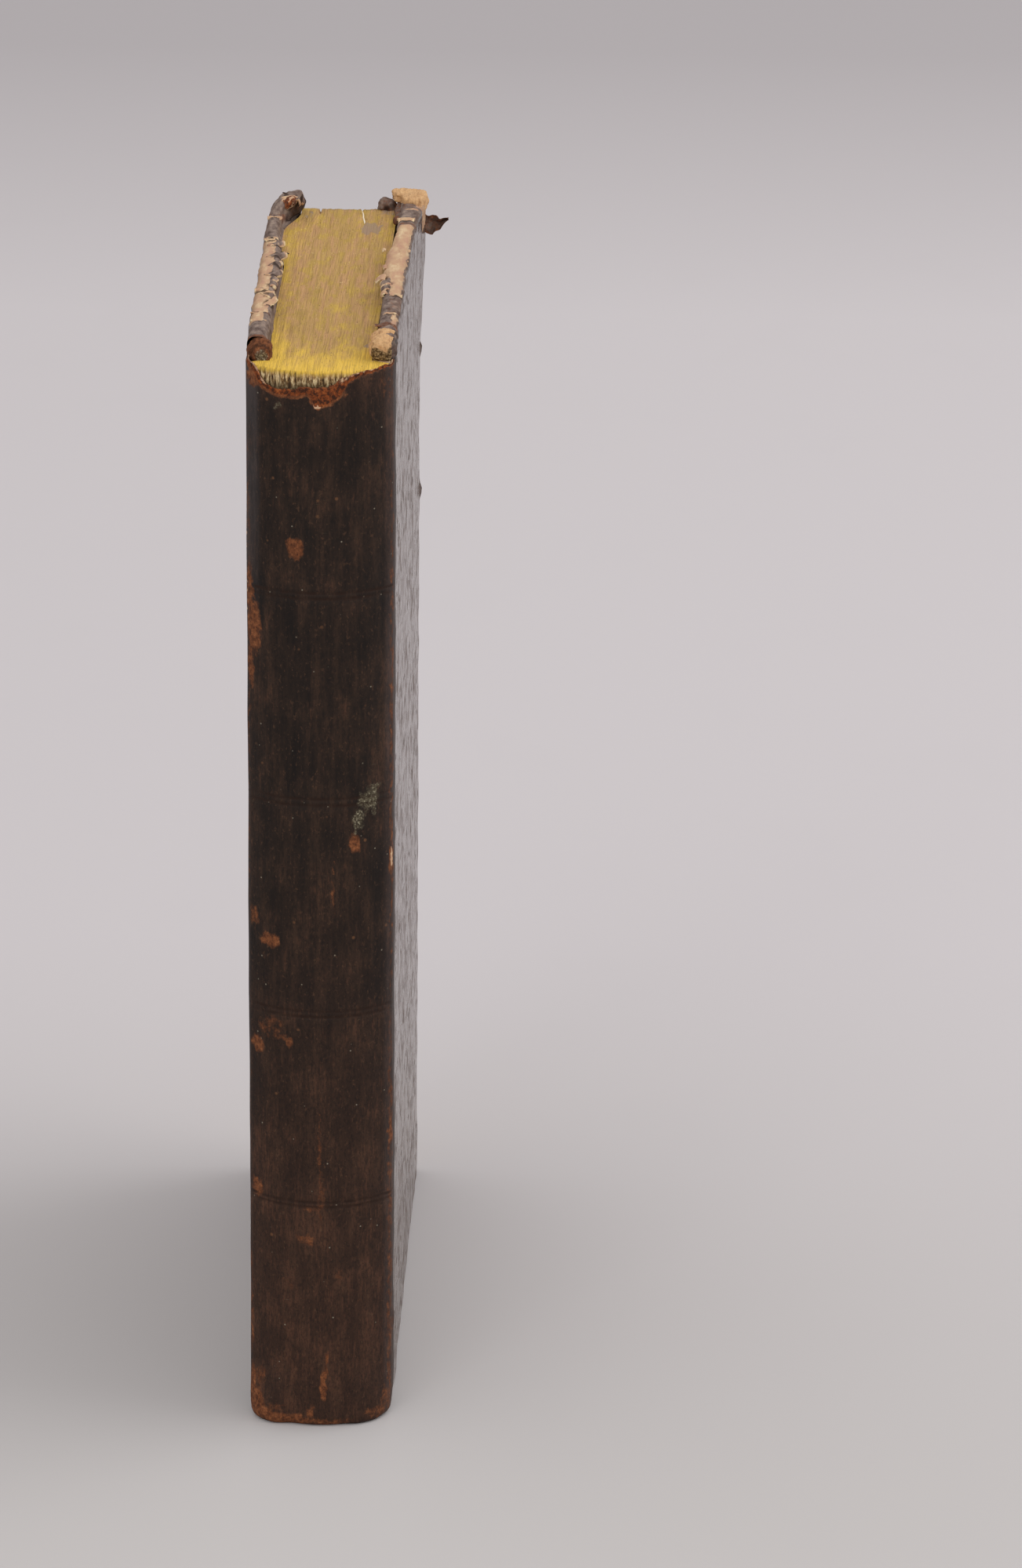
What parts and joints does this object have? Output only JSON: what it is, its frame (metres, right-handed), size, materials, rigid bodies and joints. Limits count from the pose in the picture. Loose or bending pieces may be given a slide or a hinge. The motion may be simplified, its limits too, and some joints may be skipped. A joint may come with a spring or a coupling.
{
  "type": "antique leather book",
  "caption": "Worn leather-bound octavo book standing on its tail, rounded spine, torn head, two covers hinged at the joints.",
  "frame": {"origin": "on the surface the book stands on, under the middle of its box, torn leather ear included", "axes": "+Z from tail to head, +X out of the front cover, +Y from the spine to the fore edge"},
  "size_m": [0.0328, 0.1273, 0.2014],
  "materials": {
    "leather": "satin",
    "pasteboard": "matte",
    "pages": "matte",
    "lining_paper": "matte",
    "hemp_cord": "matte"
  },
  "bodies": {
    "book_block": {"text_block": "pages", "spine_leather": "leather", "sewing_cord_1": "hemp_cord", "sewing_cord_2": "hemp_cord", "sewing_cord_3": "hemp_cord", "sewing_cord_4": "hemp_cord"},
    "front_cover": {"front_board": "pasteboard", "front_leather": "leather", "front_pastedown": "lining_paper", "front_slip_1": "hemp_cord", "front_slip_2": "hemp_cord", "front_slip_3": "hemp_cord", "front_slip_4": "hemp_cord"},
    "back_cover": {"back_board": "pasteboard", "back_leather": "leather", "back_pastedown": "lining_paper", "back_slip_1": "hemp_cord", "back_slip_2": "hemp_cord", "back_slip_3": "hemp_cord", "back_slip_4": "hemp_cord"}
  },
  "joints": [
    {"name": "front_hinge", "type": "hinge", "parent": "book_block", "child": "front_cover", "pos_m": [0.01061, -0.0536, 0.1], "axis": [0, 0, -1], "range_deg": [0, 180]},
    {"name": "back_hinge", "type": "hinge", "parent": "book_block", "child": "back_cover", "pos_m": [-0.01529, -0.0536, 0.1], "axis": [0, 0, 1], "range_deg": [0, 180]}
  ]
}
